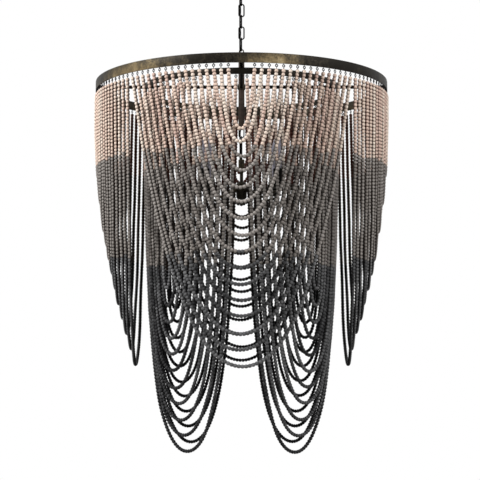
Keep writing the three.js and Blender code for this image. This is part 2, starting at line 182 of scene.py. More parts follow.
def add(tree, kind, inputs=(), stops=(), **settings):
    """Adds a node. Settings are its properties, and inputs are its sockets' values or what links
    to them, by name, number or order. A node given as a value stands for its first output. Stops
    are a colour ramp's pairs of a place and a hex colour."""
    node = tree.nodes.new(kind)
    for name, value in settings.items():
        setattr(node, name, value)
    for name, value in inputs.items() if isinstance(inputs, dict) else enumerate(inputs):
        socket = node.inputs[name]
        if isinstance(value, bpy.types.Node):
            value = value.outputs[0]
        if isinstance(value, bpy.types.NodeSocket):
            tree.links.new(value, socket)
        else:
            socket.default_value = value
    if stops:
        elements = node.color_ramp.elements
        while len(elements) < len(stops):
            elements.new(0.5)
        for element, (place, colour) in zip(elements, stops):
            element.position = place
            element.color = linear(colour)
    return node


def new_material(name):
    material = bpy.data.materials.new(name)
    material.use_nodes = True
    material.node_tree.nodes.clear()
    return material, material.node_tree


def finish_material(material, inputs, height=None, strength=0.2, depth=0.5 * MM):
    """Gives the material its shader, on bumps as deep as given where there is a height."""
    tree = material.node_tree
    if height is not None:
        bumps = {"Height": height, "Strength": strength, "Distance": depth}
        inputs = {**inputs, "Normal": add(tree, "ShaderNodeBump", bumps)}
    add(tree, "ShaderNodeOutputMaterial", [add(tree, "ShaderNodeBsdfPrincipled", inputs)])
    return material


def blots(tree, size, detail=2.0, stretch=None, distortion=0.0):
    """Noise whose blots are about size metres across, on the piece's own coordinates."""
    place = add(tree, "ShaderNodeTexCoord").outputs["Object"]
    if stretch:
        place = add(tree, "ShaderNodeMapping", {"Vector": place, "Scale": stretch})
    inputs = {"Vector": place, "Scale": 1 / size, "Detail": detail, "Distortion": distortion}
    return add(tree, "ShaderNodeTexNoise", inputs)


# Materials


def painted_wood(name, painted_shade, dark, middle, light):
    """Turned beech beads in matt milk paint, the strands differing a little in tone. Painted shade:
    the sides of the beads that face into the chandelier, and the ends where beads meet, are
    darkened towards a dark brown, while the faces turned outwards keep the paint's own colour."""
    material, tree = new_material(name)
    tone, outside, groove = [
        add(tree, "ShaderNodeAttribute", attribute_name=attribute).outputs["Fac"]
        for attribute in ("bead_tone", "outside", "groove")
    ]
    wash = add(tree, RAMP, [tone], [(0.0, dark), (0.5, middle), (1.0, light)])
    # Painted shade: beads go from the paint's colour on their outward faces to the first, dark
    # colour on their inward sides, and towards that dark colour again where beads meet
    painted_light_share = add(tree, RAMP, [outside], [(0.42, "#000000"), (0.8, "#FFFFFF")])
    painted_groove_shade = add(tree, RAMP, [groove], [(0.45, "#000000"), (0.95, "#C0C0C0")])
    # Specks in the wash are under 1 mm on the real beads, and 3 mm here so that they show
    specks = add(tree, RAMP, [blots(tree, 3 * MM, 3.0)], [(0.55, "#000000"), (0.8, "#606060")])
    colour = linear(painted_shade)
    for share, over in ((painted_light_share, wash), (painted_groove_shade, linear(painted_shade)), (specks, linear(dark))):
        layers = {0: share, 6: colour, 7: over}
        colour = add(tree, "ShaderNodeMix", layers, data_type="RGBA").outputs[2]
    rough = add(tree, RANGE, {0: blots(tree, 3 * MM), 3: 0.42, 4: 0.6})
    inputs = {"Base Color": colour, "Roughness": rough, "Specular IOR Level": 0.05}
    return finish_material(material, inputs, blots(tree, 0.9 * MM), 0.25, 0.3 * MM)


def patinated_brass():
    """Brass under a dark liver-of-sulphur patina, wiped back by hand: nearly black brown, with
    clouds of olive and dull gold where the cloth went."""
    material, tree = new_material("patinated_brass")
    rub_and_painted_light = add(tree, "ShaderNodeAttribute", attribute_name="rub_and_painted_light").outputs["Fac"]
    clouds = blots(tree, 70 * MM, 5.0, distortion=0.8)
    smears = blots(tree, 16 * MM, 4.0, stretch=(1.0, 1.0, 0.6))
    for share, finer in ((0.4, smears), (0.3, blots(tree, 4 * MM, 3.0))):
        clouds = add(tree, "ShaderNodeMix", {"Factor": share, "A": clouds, "B": finer})
    # The hoop's rubbing attribute lightens the patina where it was wiped, paints highlight in some
    # patches and paints shade where it is below zero
    wiped = add(tree, MATH, [rub_and_painted_light, 0.42, clouds], operation="MULTIPLY_ADD")
    stops = [(0.42, "#14110C"), (0.52, "#2A261E"), (0.62, "#4A4130")]
    stops += [(0.73, "#6E6046"), (0.88, "#9A8C6C")]
    rough = add(tree, RANGE, {0: blots(tree, 6 * MM, 3.0), 3: 0.42, 4: 0.62})
    inputs = {"Base Color": add(tree, RAMP, [wiped], stops), "Roughness": rough}
    inputs |= {"Metallic": 0.6, "Specular IOR Level": 0.15}
    return finish_material(material, inputs, blots(tree, 2 * MM, 3.0), 0.25, 0.3 * MM)


def mottled(name, blot, detail, stops, inputs, rough=None, bumps=None):
    """A finish in blots of a few colours. Its roughness may go between a low and a high value over
    2 mm, and its bumps have a size, a detail, a strength and a depth."""
    material, tree = new_material(name)
    inputs = {"Base Color": add(tree, RAMP, [blots(tree, blot, detail)], stops), **inputs}
    if rough:
        low, high = rough
        inputs["Roughness"] = add(tree, RANGE, {0: blots(tree, 2 * MM), 3: low, 4: high})
    if not bumps:
        return finish_material(material, inputs)
    size, bump_detail, strength, depth = bumps
    return finish_material(material, inputs, blots(tree, size, bump_detail), strength, depth)


def braided_cotton():
    """Black cotton braid over a two-core flex: two crossing lays of thread about 1 mm wide."""
    material, tree = new_material("braided_cotton_flex")
    place = add(tree, "ShaderNodeUVMap", uv_map="along")
    lays = []
    for lean in (0.7, -0.7):
        turned_place = add(tree, "ShaderNodeMapping", {"Vector": place, "Rotation": (0, 0, lean)})
        inputs = {"Vector": turned_place, "Scale": 0.32 / MM}
        lays.append(add(tree, "ShaderNodeTexWave", inputs).outputs["Fac"])
    braid = add(tree, MATH, lays, operation="MAXIMUM")
    colour = add(tree, RAMP, [braid], [(0.2, "#040404"), (0.9, "#100F0E")])
    inputs = {"Base Color": colour, "Roughness": 0.95, "Specular IOR Level": 0.02}
    return finish_material(material, inputs, braid, 0.6, 0.3 * MM)


def etched_glass():
    """Thin blown glass, etched satin inside: light comes through it, but no clear picture."""
    material, tree = new_material("satin_etched_glass")
    rough = add(tree, RANGE, {0: blots(tree, 5 * MM), 3: 0.42, 4: 0.55})
    # The base colour is a lavender grey rather than the white of etched glass: painted shade from
    # the beads around the bulbs
    inputs = {"Base Color": linear("#BEBAC6"), "Roughness": rough, "IOR": 1.45}
    inputs["Transmission Weight"] = 0.55
    return finish_material(material, inputs, blots(tree, 12 * MM), 0.05, 0.2 * MM)


# A bead paint's first colour is painted shade, for the beads' inward sides and where beads meet
BLUSH = painted_wood("beech_blush_paint_with_painted_shade", "#38201A", "#CDAEA2", "#E0C8B8", "#F0E4D6")
GREY = painted_wood("beech_grey_paint_with_painted_shade", "#28221E", "#7A746F", "#908A85", "#A8A29D")
CHARCOAL = painted_wood("beech_charcoal_paint_with_painted_shade", "#121213", "#2E2E2F", "#626263", "#8A8A8B")
BRASS = patinated_brass()
# Steel under a thick black wax: soft and dark, a little brown where it is handled
WAXED = [(0.35, "#0B0A0A"), (0.6, "#141211"), (0.8, "#221E1A")]
WAX_GRAIN = (1.2 * MM, 3.0, 0.2, 0.15 * MM)
inputs = {"Metallic": 0.0, "Specular IOR Level": 0.04}
STEEL = mottled("waxed_black_steel", 7 * MM, 4.0, WAXED, inputs, (0.55, 0.7), WAX_GRAIN)
# Steel blackened and brushed back: dark, with a dull brown sheen that is painted sheen in its
# colour, as the finish itself barely reflects
BLACK_STEEL_AND_PAINTED_SHEEN = [(0.35, "#2E2723"), (0.6, "#3A312C"), (0.8, "#483D36")]
inputs = {"Metallic": 0.06, "Specular IOR Level": 0.04}
STEM_STEEL = mottled("black_steel_with_painted_sheen", 7 * MM, 4.0, BLACK_STEEL_AND_PAINTED_SHEEN, inputs, (0.35, 0.5), WAX_GRAIN)
# Twisted cotton, waxed dark so that it vanishes between the beads
WAXED_COTTON = [(0.3, "#2A2521"), (0.7, "#4A423A")]
TWIST = (0.5 * MM, 2.0, 0.4, 0.1 * MM)
inputs = {"Roughness": 0.8}
THREAD = mottled("waxed_cotton_thread", 1 * MM, 2.0, WAXED_COTTON, inputs, bumps=TWIST)
# Drawn wire, unlit, with the grey shine of bare metal
TUNGSTEN = [(0.3, "#4A4642"), (0.7, "#8A847C")]
inputs = {"Metallic": 1.0, "Roughness": 0.35}
FILAMENT = mottled("drawn_tungsten_wire", 1 * MM, 2.0, TUNGSTEN, inputs)
# A pressed screw cap, yellow and dulled by handling
CAP_BRASS = [(0.3, "#7A6434"), (0.7, "#B39A5C")]
CAP = mottled("pressed_brass_cap", 3 * MM, 3.0, CAP_BRASS, {"Metallic": 1.0}, (0.3, 0.5))
FLEX = braided_cotton()
GLASS = etched_glass()
# The finish of each slot that turned parts take
LOOKS = {"aged_brass": BRASS, "dark_iron": STEEL, "candle_sleeve": STEEL}


# Helpers for meshes


def linked(name, mesh):
    piece = bpy.data.objects.new(name, mesh)
    bpy.context.scene.collection.objects.link(piece)
    return piece


def mesh_piece(name, places, faces, material, sharp=40):
    mesh = bpy.data.meshes.new(name)
    mesh.from_pydata([tuple(place) for place in places], [], faces)
    mesh.validate()
    mesh.shade_smooth()
    mesh.set_sharp_from_angle(angle=math.radians(sharp))
    mesh.materials.append(material)
    return linked(name, mesh)


def rounded(profile, radius, steps=3):
    """The profile with each corner but the first and the last rounded."""
    points = [Vector(pair) for pair in profile]
    out = [points[0]]
    for before, corner, after in zip(points, points[1:], points[2:]):
        room = 0.45 * min((before - corner).length, (after - corner).length)
        cut = min(radius, room)
        start = corner + (before - corner).normalized() * cut
        end = corner + (after - corner).normalized() * cut
        for step in range(steps + 1):
            t = step / steps
            out.append(start * (1 - t) ** 2 + corner * 2 * t * (1 - t) + end * t**2)
    return [tuple(point) for point in [*out, points[-1]]]


def bored(outer, inner, top, foot):
    """The profile of a collar, which starts in the middle of its foot so that all four of its
    corners can be rounded."""
    start = ((inner + outer) / 2, foot)
    return [start, (outer, foot), (outer, top), (inner, top), (inner, foot), start]


def turn_faces(profile, facets, centre=(0, 0)):
    """Corners and faces of a turned shape. The profile's pairs are a radius and a height, listed
    so that the faces point outwards going up the outside; a closed one repeats its first pair."""
    closed = profile[0] == profile[-1]
    pairs = profile[:-1] if closed else profile
    places, rows = [], []
    for radius, height in pairs:
        if radius < 1e-9:
            rows.append([len(places)])
            places.append((centre[0], centre[1], height))
            continue
        rows.append(list(range(len(places), len(places) + facets)))
        for facet in range(facets):
            angle = 2 * math.pi * facet / facets
            x, y = radius * math.cos(angle), radius * math.sin(angle)
            places.append((centre[0] + x, centre[1] + y, height))
    faces = []
    for low, high in zip(rows, rows[1:] + rows[:1] if closed else rows[1:]):
        for facet in range(facets):
            beside = (facet + 1) % facets
            corners = [low[facet % len(low)], low[beside % len(low)]]
            corners += [high[beside % len(high)], high[facet % len(high)]]
            face = list(dict.fromkeys(corners))
            if len(face) > 2:
                faces.append(face)
    return places, faces


def turned(name, profile, material, facets, rounding=0.0, centre=(0, 0)):
    if rounding:
        profile = rounded(profile, rounding)
    return mesh_piece(name, *turn_faces(profile, facets, centre), material)


def smooth_path(points, per_span):
    """A centripetal curve through the points."""
    points = [np.array(point, float) for point in points]
    points = [2 * points[0] - points[1], *points, 2 * points[-1] - points[-2]]
    out = []
    for p0, p1, p2, p3 in zip(points, points[1:], points[2:], points[3:]):
        t1 = np.linalg.norm(p1 - p0) ** 0.5
        t2 = t1 + np.linalg.norm(p2 - p1) ** 0.5
        t3 = t2 + np.linalg.norm(p3 - p2) ** 0.5
        for step in range(per_span):
            t = t1 + (t2 - t1) * step / per_span
            a1 = (t1 - t) / t1 * p0 + t / t1 * p1
            a2 = (t2 - t) / (t2 - t1) * p1 + (t - t1) / (t2 - t1) * p2
            a3 = (t3 - t) / (t3 - t2) * p2 + (t - t2) / (t3 - t2) * p3
            b1 = (t2 - t) / t2 * a1 + t / t2 * a2
            b2 = (t3 - t) / (t3 - t1) * a2 + (t - t1) / (t3 - t1) * a3
            out.append((t2 - t) / (t2 - t1) * b1 + (t - t1) / (t2 - t1) * b2)
    return [*out, points[-2]]


def tube(name, path, radius, material, sides=14, closed=False, uv=False):
    """A round tube along the path, with flat ends."""
    path = [Vector(point) for point in path]
    count = len(path)
    if closed:
        ways = [(path[(i + 1) % count] - path[i - 1]).normalized() for i in range(count)]
    else:
        ends = [path[0], *path, path[-1]]
        ways = [(ends[i + 2] - ends[i]).normalized() for i in range(count)]
    upright = Vector((1, 0, 0)) if abs(ways[0].z) > 0.9 else Vector((0, 0, 1))
    normal = upright.cross(ways[0]).normalized()
    places = []
    for index, (centre, way) in enumerate(zip(path, ways)):
        if index:
            normal = ways[index - 1].rotation_difference(way) @ normal
        across = way.cross(normal)
        for side in range(sides):
            angle = 2 * math.pi * side / sides
            places.append(centre + (normal * math.cos(angle) + across * math.sin(angle)) * radius)
    faces = []
    for index in range(count if closed else count - 1):
        here, there = index * sides, (index + 1) % count * sides
        for side in range(sides):
            beside = (side + 1) % sides
            faces.append([here + side, here + beside, there + beside, there + side])
    if not closed:
        faces.append(list(range(sides))[::-1])
        faces.append([(count - 1) * sides + side for side in range(sides)])
    piece = mesh_piece(name, places, faces, material)
    if uv:
        add_lengthwise_uv(piece.data, path, sides, radius)
    return piece


def add_lengthwise_uv(mesh, path, sides, radius):
    """UV in metres: round the tube, then along it."""
    along = [0.0]
    for a, b in zip(path, path[1:]):
        along.append(along[-1] + (b - a).length)
    layer = mesh.uv_layers.new(name="along")
    for face in mesh.polygons:
        sides_here = [mesh.loops[loop].vertex_index % sides for loop in face.loop_indices]
        wraps = len(face.loop_indices) == 4 and 0 in sides_here and sides - 1 in sides_here
        for loop, side in zip(face.loop_indices, sides_here):
            ring = mesh.loops[loop].vertex_index // sides
            round_tube = sides if wraps and side == 0 else side
            layer.data[loop].uv = (round_tube * 2 * math.pi * radius / sides, along[ring])


def joined(name, *pieces):
    """The pieces as one, with the first one's materials first."""
    bpy.ops.object.select_all(action="DESELECT")
    for piece in pieces:
        piece.select_set(True)
    bpy.context.view_layer.objects.active = pieces[0]
    bpy.ops.object.join()
    pieces[0].name = name
    return pieces[0]


def stand_for(piece, body, slot, *nodes):
    """The piece rides on the body and takes the place of the nodes, if there are any."""
    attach(piece, body)
    if nodes:
        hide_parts(*nodes)


def turned_part(name, node, body, slot, profile, facets, rounding=0.0, centre=(0, 0)):
    """A turned piece in its slot's finish, in place of the node."""
    piece = turned(name, profile, LOOKS[slot], facets, rounding, centre)
    stand_for(piece, body, slot, node)


# Geometry node trees


def new_tree(name, sizes, **others):
    """A geometry tree with inputs named for sizes and others, and the values they are given."""
    tree = bpy.data.node_groups.new(name, "GeometryNodeTree")
    for way in ("INPUT", "OUTPUT"):
        tree.interface.new_socket("Geometry", in_out=way, socket_type="NodeSocketGeometry")
    for socket, kind in (dict.fromkeys(sizes, "Float") | others).items():
        tree.interface.new_socket(socket, in_out="INPUT", socket_type="NodeSocket" + kind)
    return tree, add(tree, "NodeGroupInput").outputs


def finish_in_steel(tree, shape):
    for kind in ("GeometryNodeRealizeInstances", "GeometryNodeSetShadeSmooth"):
        shape = add(tree, kind, {"Geometry": shape})
    shape = add(tree, "GeometryNodeSetMaterial", {"Geometry": shape, "Material": STEEL})
    add(tree, "NodeGroupOutput", [shape])
    return tree


def made_by(tree, name, mesh, values):
    """The plain mesh that the tree makes from this one."""
    source = linked(name + "_source", mesh)
    modifier = source.modifiers.new("shape", "NODES")
    modifier.node_group = tree
    for item in tree.interface.items_tree:
        if item.in_out == "INPUT" and item.name in values:
            modifier[item.identifier] = values[item.name]
    bpy.context.view_layer.update()
    graph = bpy.context.evaluated_depsgraph_get()
    made = bpy.data.meshes.new_from_object(source.evaluated_get(graph), depsgraph=graph)
    bpy.data.objects.remove(source)
    made.name = name
    return linked(name, made)


def bead_tree():
    """Barrel-shaped beads end to end on polylines, in three colours by height. The beads of a
    strand share its tone, give or take a little."""
    sizes = ["Bead", "Pitch", "Swell", "Blush foot", "Grey foot", "Foot fade"]
    tree, given = new_tree("bead strands", sizes, Seed="Int")
    pitch, tone, shift, level = [
        add(tree, ATTRIBUTE, {"Name": name}, data_type="FLOAT")
        for name in ("strand_pitch", "strand_tone", "dye_shift", "dye_level")
    ]
    half = add(tree, MATH, [given["Pitch"], 0.5], operation="MULTIPLY")
    line = add(tree, "GeometryNodeMeshToCurve", [given["Geometry"]])
    end = add(tree, MATH, [add(tree, "GeometryNodeSplineLength"), half], operation="SUBTRACT")
    line = add(tree, "GeometryNodeTrimCurve", {0: line, 4: half, 5: end}, mode="LENGTH")
    inputs = {"Curve": line, "Length": pitch}
    places = add(tree, "GeometryNodeResampleCurve", inputs, mode="LENGTH")

    # A bead is a short cylinder whose radius falls from its middle to its flat ends
    hair_short, tone_spread = 0.995, 0.14
    radius = add(tree, MATH, [given["Bead"], 0.5], operation="MULTIPLY")
    depth = add(tree, MATH, [given["Pitch"], hair_short], operation="MULTIPLY")
    inputs = {"Vertices": 8, "Side Segments": 4, "Radius": radius, "Depth": depth}
    drum = add(tree, "GeometryNodeMeshCylinder", inputs)
    position = add(tree, "GeometryNodeInputPosition")
    height = add(tree, "ShaderNodeSeparateXYZ", [position]).outputs["Z"]
    along = add(tree, MATH, [height, half], operation="DIVIDE")
    along = add(tree, MATH, [along], operation="ABSOLUTE")
    # The bead paints darken each bead towards its ends by this, as painted shade where beads meet
    inputs = {"Geometry": drum, "Name": "groove", "Value": along}
    drum = add(tree, STORE, inputs, data_type="FLOAT", domain="POINT")
    fall = add(tree, MATH, [along, 2.0], operation="POWER")
    fall = add(tree, MATH, [fall, given["Swell"]], operation="MULTIPLY")
    width = add(tree, MATH, [1.0, fall], operation="SUBTRACT")
    width = add(tree, MATH, [width], operation="SQRT")
    widths = add(tree, TRIPLE, [width, width, 1.0])
    swollen = add(tree, VECTOR, [position, widths], operation="MULTIPLY")
    drum = add(tree, "GeometryNodeSetPosition", {"Geometry": drum, "Position": swollen})
    bead = add(tree, "GeometryNodeSetShadeSmooth", {"Geometry": drum})

    # A strand's beads are stretched or pressed a little to fill its own pitch
    tangent = add(tree, "GeometryNodeInputTangent")
    threaded = add(tree, "FunctionNodeAlignRotationToVector", {"Vector": tangent}, axis="Z")
    taller = add(tree, MATH, [pitch, given["Pitch"]], operation="DIVIDE")
    growth = add(tree, TRIPLE, [1.0, 1.0, taller])
    inputs = {"Points": places, "Instance": bead, "Rotation": threaded, "Scale": growth}
    shape = add(tree, "GeometryNodeInstanceOnPoints", inputs)

    # The last dye bath is darker towards the foot, by this much in tone for each metre
    under = add(tree, MATH, [given["Grey foot"], height], operation="SUBTRACT")
    under = add(tree, MATH, [under, 0.0], operation="MAXIMUM")
    faded = add(tree, MATH, [under, given["Foot fade"]], operation="MULTIPLY")
    inputs = {2: -tone_spread, 3: tone_spread, "Seed": given["Seed"]}
    chance = add(tree, "FunctionNodeRandomValue", inputs, data_type="FLOAT").outputs[1]
    tone = add(tree, MATH, [tone, chance], operation="ADD")
    tone = add(tree, MATH, [tone, faded], operation="SUBTRACT")
    dyed_at = add(tree, MATH, [height, shift], operation="SUBTRACT")
    for name, value, kind in (
        ("bead_tone", tone, "FLOAT"),
        ("dye_level", dyed_at, "FLOAT"),
        ("bead_middle", position, "FLOAT_VECTOR"),
    ):
        inputs = {"Geometry": shape, "Name": name, "Value": value}
        shape = add(tree, STORE, inputs, data_type=kind, domain="INSTANCE")
    shape = add(tree, "GeometryNodeRealizeInstances", {"Geometry": shape})

    # How far out of the shade each point of a bead faces, 0 inwards and 1 outwards; the bead paints
    # use it for painted shade on the inward sides
    middle = add(tree, ATTRIBUTE, {"Name": "bead_middle"}, data_type="FLOAT_VECTOR")
    outwards = add(tree, VECTOR, [middle, (1, 1, 0)], operation="MULTIPLY")
    outwards = add(tree, VECTOR, [outwards], operation="NORMALIZE")
    spoke = add(tree, VECTOR, [position, middle], operation="SUBTRACT")
    reach = add(tree, VECTOR, [spoke, outwards], operation="DOT_PRODUCT").outputs[1]
    facing = add(tree, MATH, [reach, given["Bead"]], operation="DIVIDE")
    facing = add(tree, MATH, [facing, 0.5], operation="ADD")
    inputs = {"Geometry": shape, "Name": "outside", "Value": facing}
    shape = add(tree, STORE, inputs, data_type="FLOAT", domain="POINT")

    shape = add(tree, "GeometryNodeSetMaterial", {"Geometry": shape, "Material": CHARCOAL})
    for foot, paint in (("Grey foot", GREY), ("Blush foot", BLUSH)):
        inputs = {0: level, 1: given[foot]}
        settings = {"data_type": "FLOAT", "operation": "GREATER_THAN"}
        above = add(tree, "FunctionNodeCompare", inputs, **settings)
        inputs = {"Geometry": shape, "Selection": above, "Material": paint}
        shape = add(tree, "GeometryNodeSetMaterial", inputs)
    add(tree, "NodeGroupOutput", [shape])
    return tree


def ring_tree():
    """Hangs a jump ring in a soldered eye at each point, facing outwards."""
    tree, given = new_tree("jump rings", ["Ring", "Wire", "Eye", "Eye wire"])
    both = add(tree, "GeometryNodeJoinGeometry")
    for width, wire, turn, hangs_in in (
        (given["Ring"], given["Wire"], (QUARTER, 0, QUARTER), given["Eye"]),
        (given["Eye"], given["Eye wire"], (QUARTER, 0, 0), None),
    ):
        half = add(tree, MATH, [width, 0.5], operation="MULTIPLY")
        thick = add(tree, MATH, [wire, 0.5], operation="MULTIPLY")
        middle = add(tree, MATH, [half, thick], operation="SUBTRACT")
        circle = "GeometryNodeCurvePrimitiveCircle"
        line = add(tree, circle, {"Resolution": 10, "Radius": middle})
        section = add(tree, circle, {"Resolution": 4, "Radius": thick})
        ring = add(tree, "GeometryNodeCurveToMesh", [line, section])
        drop = add(tree, MATH, [half, -1.0], operation="MULTIPLY")
        if hangs_in:
            passed = add(tree, MATH, [wire, hangs_in], operation="SUBTRACT")
            drop = add(tree, MATH, [drop, passed], operation="ADD")
        inputs = {"Geometry": ring, "Translation": add(tree, TRIPLE, {"Z": drop}), "Rotation": turn}
        tree.links.new(add(tree, "GeometryNodeTransform", inputs).outputs[0], both.inputs[0])
    outward = add(tree, ATTRIBUTE, {"Name": "outward"}, data_type="FLOAT")
    turn = add(tree, TRIPLE, {"Z": outward})
    inputs = {"Points": given["Geometry"], "Instance": both, "Rotation": turn}
    return finish_in_steel(tree, add(tree, "GeometryNodeInstanceOnPoints", inputs))


def link_tree():
    """A welded chain link in the XZ plane, turned and lowered to its place."""
    sizes = ["Length", "Width", "Wire", "Middle", "Turn"]
    tree, given = new_tree("chain link", sizes, Fullness="Vector")
    half = add(tree, MATH, [given["Wire"], 0.5], operation="MULTIPLY")
    tall = add(tree, MATH, [given["Length"], given["Wire"]], operation="SUBTRACT")
    wide = add(tree, MATH, [given["Width"], given["Wire"]], operation="SUBTRACT")
    # Bends of a full half width would leave doubled points at the crowns
    nearly_half = 0.4999
    bend = add(tree, MATH, [wide, nearly_half], operation="MULTIPLY")
    box = add(tree, "GeometryNodeCurvePrimitiveQuadrilateral", {"Width": wide, "Height": tall})
    inputs = {"Curve": box, "Count": 8, "Radius": bend}
    line = add(tree, "GeometryNodeFilletCurve", inputs, mode="POLY")
    section = add(tree, "GeometryNodeCurvePrimitiveCircle", {"Resolution": 14, "Radius": half})
    inputs = {
        "Geometry": add(tree, "GeometryNodeCurveToMesh", [line, section]),
        "Translation": add(tree, TRIPLE, {"Z": given["Middle"]}),
        "Rotation": add(tree, TRIPLE, {"X": QUARTER, "Z": given["Turn"]}),
        "Scale": given["Fullness"],
    }
    return finish_in_steel(tree, add(tree, "GeometryNodeTransform", inputs))


BEAD_TREE = bead_tree()
RING_TREE = ring_tree()
LINK_TREE = link_tree()


# Power cord: it enters the canopy, weaves through the open links of the chain, runs down the
# hollow stem and ends in the lamp cluster. Its route is its solid's, but it crosses the links
# about 1 mm nearer to their legs.


def cord_route():
    canopy_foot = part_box("canopy")[0].z
    stem_low, stem_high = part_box("stem")
    hanger_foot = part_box("lamp_hanger")[0].z
    eye_foot = EYE_TOP - EYE_THICK
    coupling_top = hanger_foot - GAP
    beside_link, left = 4.6 * MM, 4 * MM
    at_canopy = 19 * MM
    hole = 2.3 * MM
    in_bore = -(STEM_BORE - hole) / math.sqrt(2)
    at_lamp = -(COUPLING - hole) / math.sqrt(2) + 2 * GAP
    beside = at_lamp - GAP
    # Where it crosses a link, in mm: along X, above the link's middle, and along Y
    crossing = [(-4.0, 18, 5.0), (-3.9, 13, 4.6), (-3.3, 9, 3.6), (-2.8, 0, 0.0)]
    crossing += [(-3.3, -9, -3.6), (-3.9, -13, -4.6), (-4.0, -18, -5.0)]
    loop_middle = BENDS[0] + LINK_LENGTH / 2
    points = [
        (-at_canopy, 0, canopy_foot + 1.5 * MM + CORD),
        (-at_canopy, 0, canopy_foot - CORD),
        (-at_canopy + CORD, CORD / 2, canopy_foot - 3 * CORD),
        (-left - CORD, beside_link, loop_middle + CORD / 2),
        (-left, beside_link, loop_middle - 2 * CORD),
    ]
    side = 1
    for link in range(1, LINK_COUNT + 1, 2):
        middle = BENDS[link] + (LINK_LENGTH - LINK_WIRE) / 2
        points += [(x * MM, side * y * MM, middle + height * MM) for x, height, y in crossing]
        side = -side
        if link < LINK_COUNT:
            points.append((-left, side * beside_link, middle - HANG_STEP))
    points += [
        (in_bore - MM, in_bore - CORD / 2, STEM_COLLAR_TOP + 2 * CORD),
        (in_bore, in_bore, STEM_COLLAR_TOP),
        (in_bore, in_bore, STEM_COLLAR_TOP - 2 * CORD),
        (in_bore, in_bore, STEM_COLLAR_TOP - (stem_high.z - stem_low.z) / 2),
        (in_bore, in_bore, stem_low.z + CORD),
        (in_bore, in_bore, eye_foot),
        (beside, beside, eye_foot - 2 * CORD),
        (beside, beside, EYE_CROWN),
        (at_lamp, at_lamp, hanger_foot + 21 * MM),
        (at_lamp, at_lamp, coupling_top),
        (at_lamp, at_lamp, coupling_top - CORD),
    ]
    return smooth_path(points, 6)


def cut_route(route, tops_and_feet):
    """The route in stretches that end exactly at the given heights."""
    heights = np.array([point[2] for point in route])
    whole = np.array(route)
    clear = 0.2 * MM
    stretches = []
    for top, foot in tops_and_feet:
        inside = whole[(heights < top - clear) & (heights > foot + clear)]
        ends = {}
        for level in (top, foot):
            if heights.min() < level < heights.max():
                after = int(np.argmax(heights < level))
                share = (heights[after - 1] - level) / (heights[after - 1] - heights[after])
                ends[level] = [whole[after - 1] * (1 - share) + whole[after] * share]
        stretches.append([*ends.get(top, []), *inside, *ends.get(foot, [])])
    return stretches


def make_cord():
    bodies = ["mount", *(f"link_{link}" for link in range(1, LINK_COUNT + 1)), "frame", "lamps"]
    above_all, below_all = 1.0, -10.0
    cuts = [above_all] + [bend - HANG_STEP / 2 for bend in BENDS[:-1]]
    in_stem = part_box("stem")[1].z - 30 * MM
    cuts += [in_stem, EYE_CROWN, below_all]
    for index, stretch in enumerate(cut_route(cord_route(), list(zip(cuts, cuts[1:])))):
        piece = tube(f"power_cord_{index + 1}", stretch, CORD / 2, FLEX, sides=12, uv=True)
        if index < len(BENDS):
            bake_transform(piece)
        else:
            # Down the stem it stays with the frame, and below the eye it swings with the lamps
            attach(piece, bodies[index])
        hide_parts("power_cord")


make_cord()


# Bead strands

# How far a hung loop strays from true: its foot up or down, its middle sideways and outwards
FOOT_STRAY = 2.5 * MM
SIDE_STRAY = 4 * MM
OUT_STRAY = 1.5 * MM

# The waves along it, sideways and outwards, and their radians in a metre of height
SIDE_WAVE = 0.6 * MM
OUT_WAVE = 0.8 * MM
SHORT_SHARE = 0.6
LONG_WAVE, SHORT_WAVE, OUTWARD_WAVE = 21, 47, 25

# How far a strand strays in its dyeing, and where the blush and the grey end below the hoop
DYE_STRAY = 5 * MM
TONE_STRAY = 0.3
PITCH_STRAY = 0.03
BLUSH_DEPTH = 205 * MM
GREY_DEPTH = 452 * MM

# A thread ends this far inside its first bead
THREAD_END = 5.5 * MM
THREAD_RADIUS = 0.45 * MM


def catenary_scale(half_span, depth):
    """The scale of a catenary with this half span and this depth, found by bisection."""
    low, high = half_span / 20, half_span * 50
    for _ in range(60):
        middle = math.sqrt(low * high)
        if middle * (math.cosh(half_span / middle) - 1) > depth:
            low = middle
        else:
            high = middle
    return math.sqrt(low * high)


def ring_room(swag, angle):
    """How much further below its ring a strand's first bead hangs near a swag's middle, where the
    strands rise when the swag sways out. The thread is longer there."""
    rise = (swag["radius"] * math.cos(angle) - swag["hinge_out"]) * math.sin(swag["most_sway"])
    return max(0.0, rise - 2 * MM)


def strand(swag, index, rng):
    """One loop's points, with the swag's middle on +X, a little out of true as hung beads are."""
    angle = swag["first"] + index * swag["step"]
    share = (index / (swag["loops"] - 1)) ** swag["growth"]
    depth_here = swag["shallowest"] + share * (swag["deepest"] - swag["shallowest"])
    top = swag["hoop_foot"] - RING_DROP - ring_room(swag, angle)
    foot = HOOP_Z - depth_here + rng.uniform(-1, 1) * FOOT_STRAY
    foot = max(foot, cad_low.z + BEAD / 2)
    half_span = swag["radius"] * math.sin(angle)
    depth = top - foot
    scale = catenary_scale(half_span, depth)
    steepest = math.atan(math.sinh(half_span / scale))
    sway = rng.uniform(-1, 1) * SIDE_STRAY
    lift = rng.uniform(-1, 1) * OUT_STRAY
    waves = rng.uniform(0, math.tau, 4)
    steps = 90
    points = []
    for step in range(steps + 1):
        lean = steepest * (2 * step / steps - 1)
        y = scale * math.asinh(math.tan(lean))
        z = foot + scale * (math.cosh(y / scale) - 1)
        down = (top - z) / depth
        pull = 1 - swag["pulled_in"] * (down * down * (3 - 2 * down))
        held = math.sin(math.pi * min(1.0, down) / 2)
        wander = SHORT_SHARE * math.sin(z * SHORT_WAVE + waves[1])
        wander += math.sin(z * LONG_WAVE + waves[0])
        y = y * pull + sway * held + wander * SIDE_WAVE * held
        out = lift * held + math.sin(z * OUTWARD_WAVE + waves[2]) * OUT_WAVE * held
        points.append((swag["radius"] * math.cos(angle) + out, y, z))
    return points


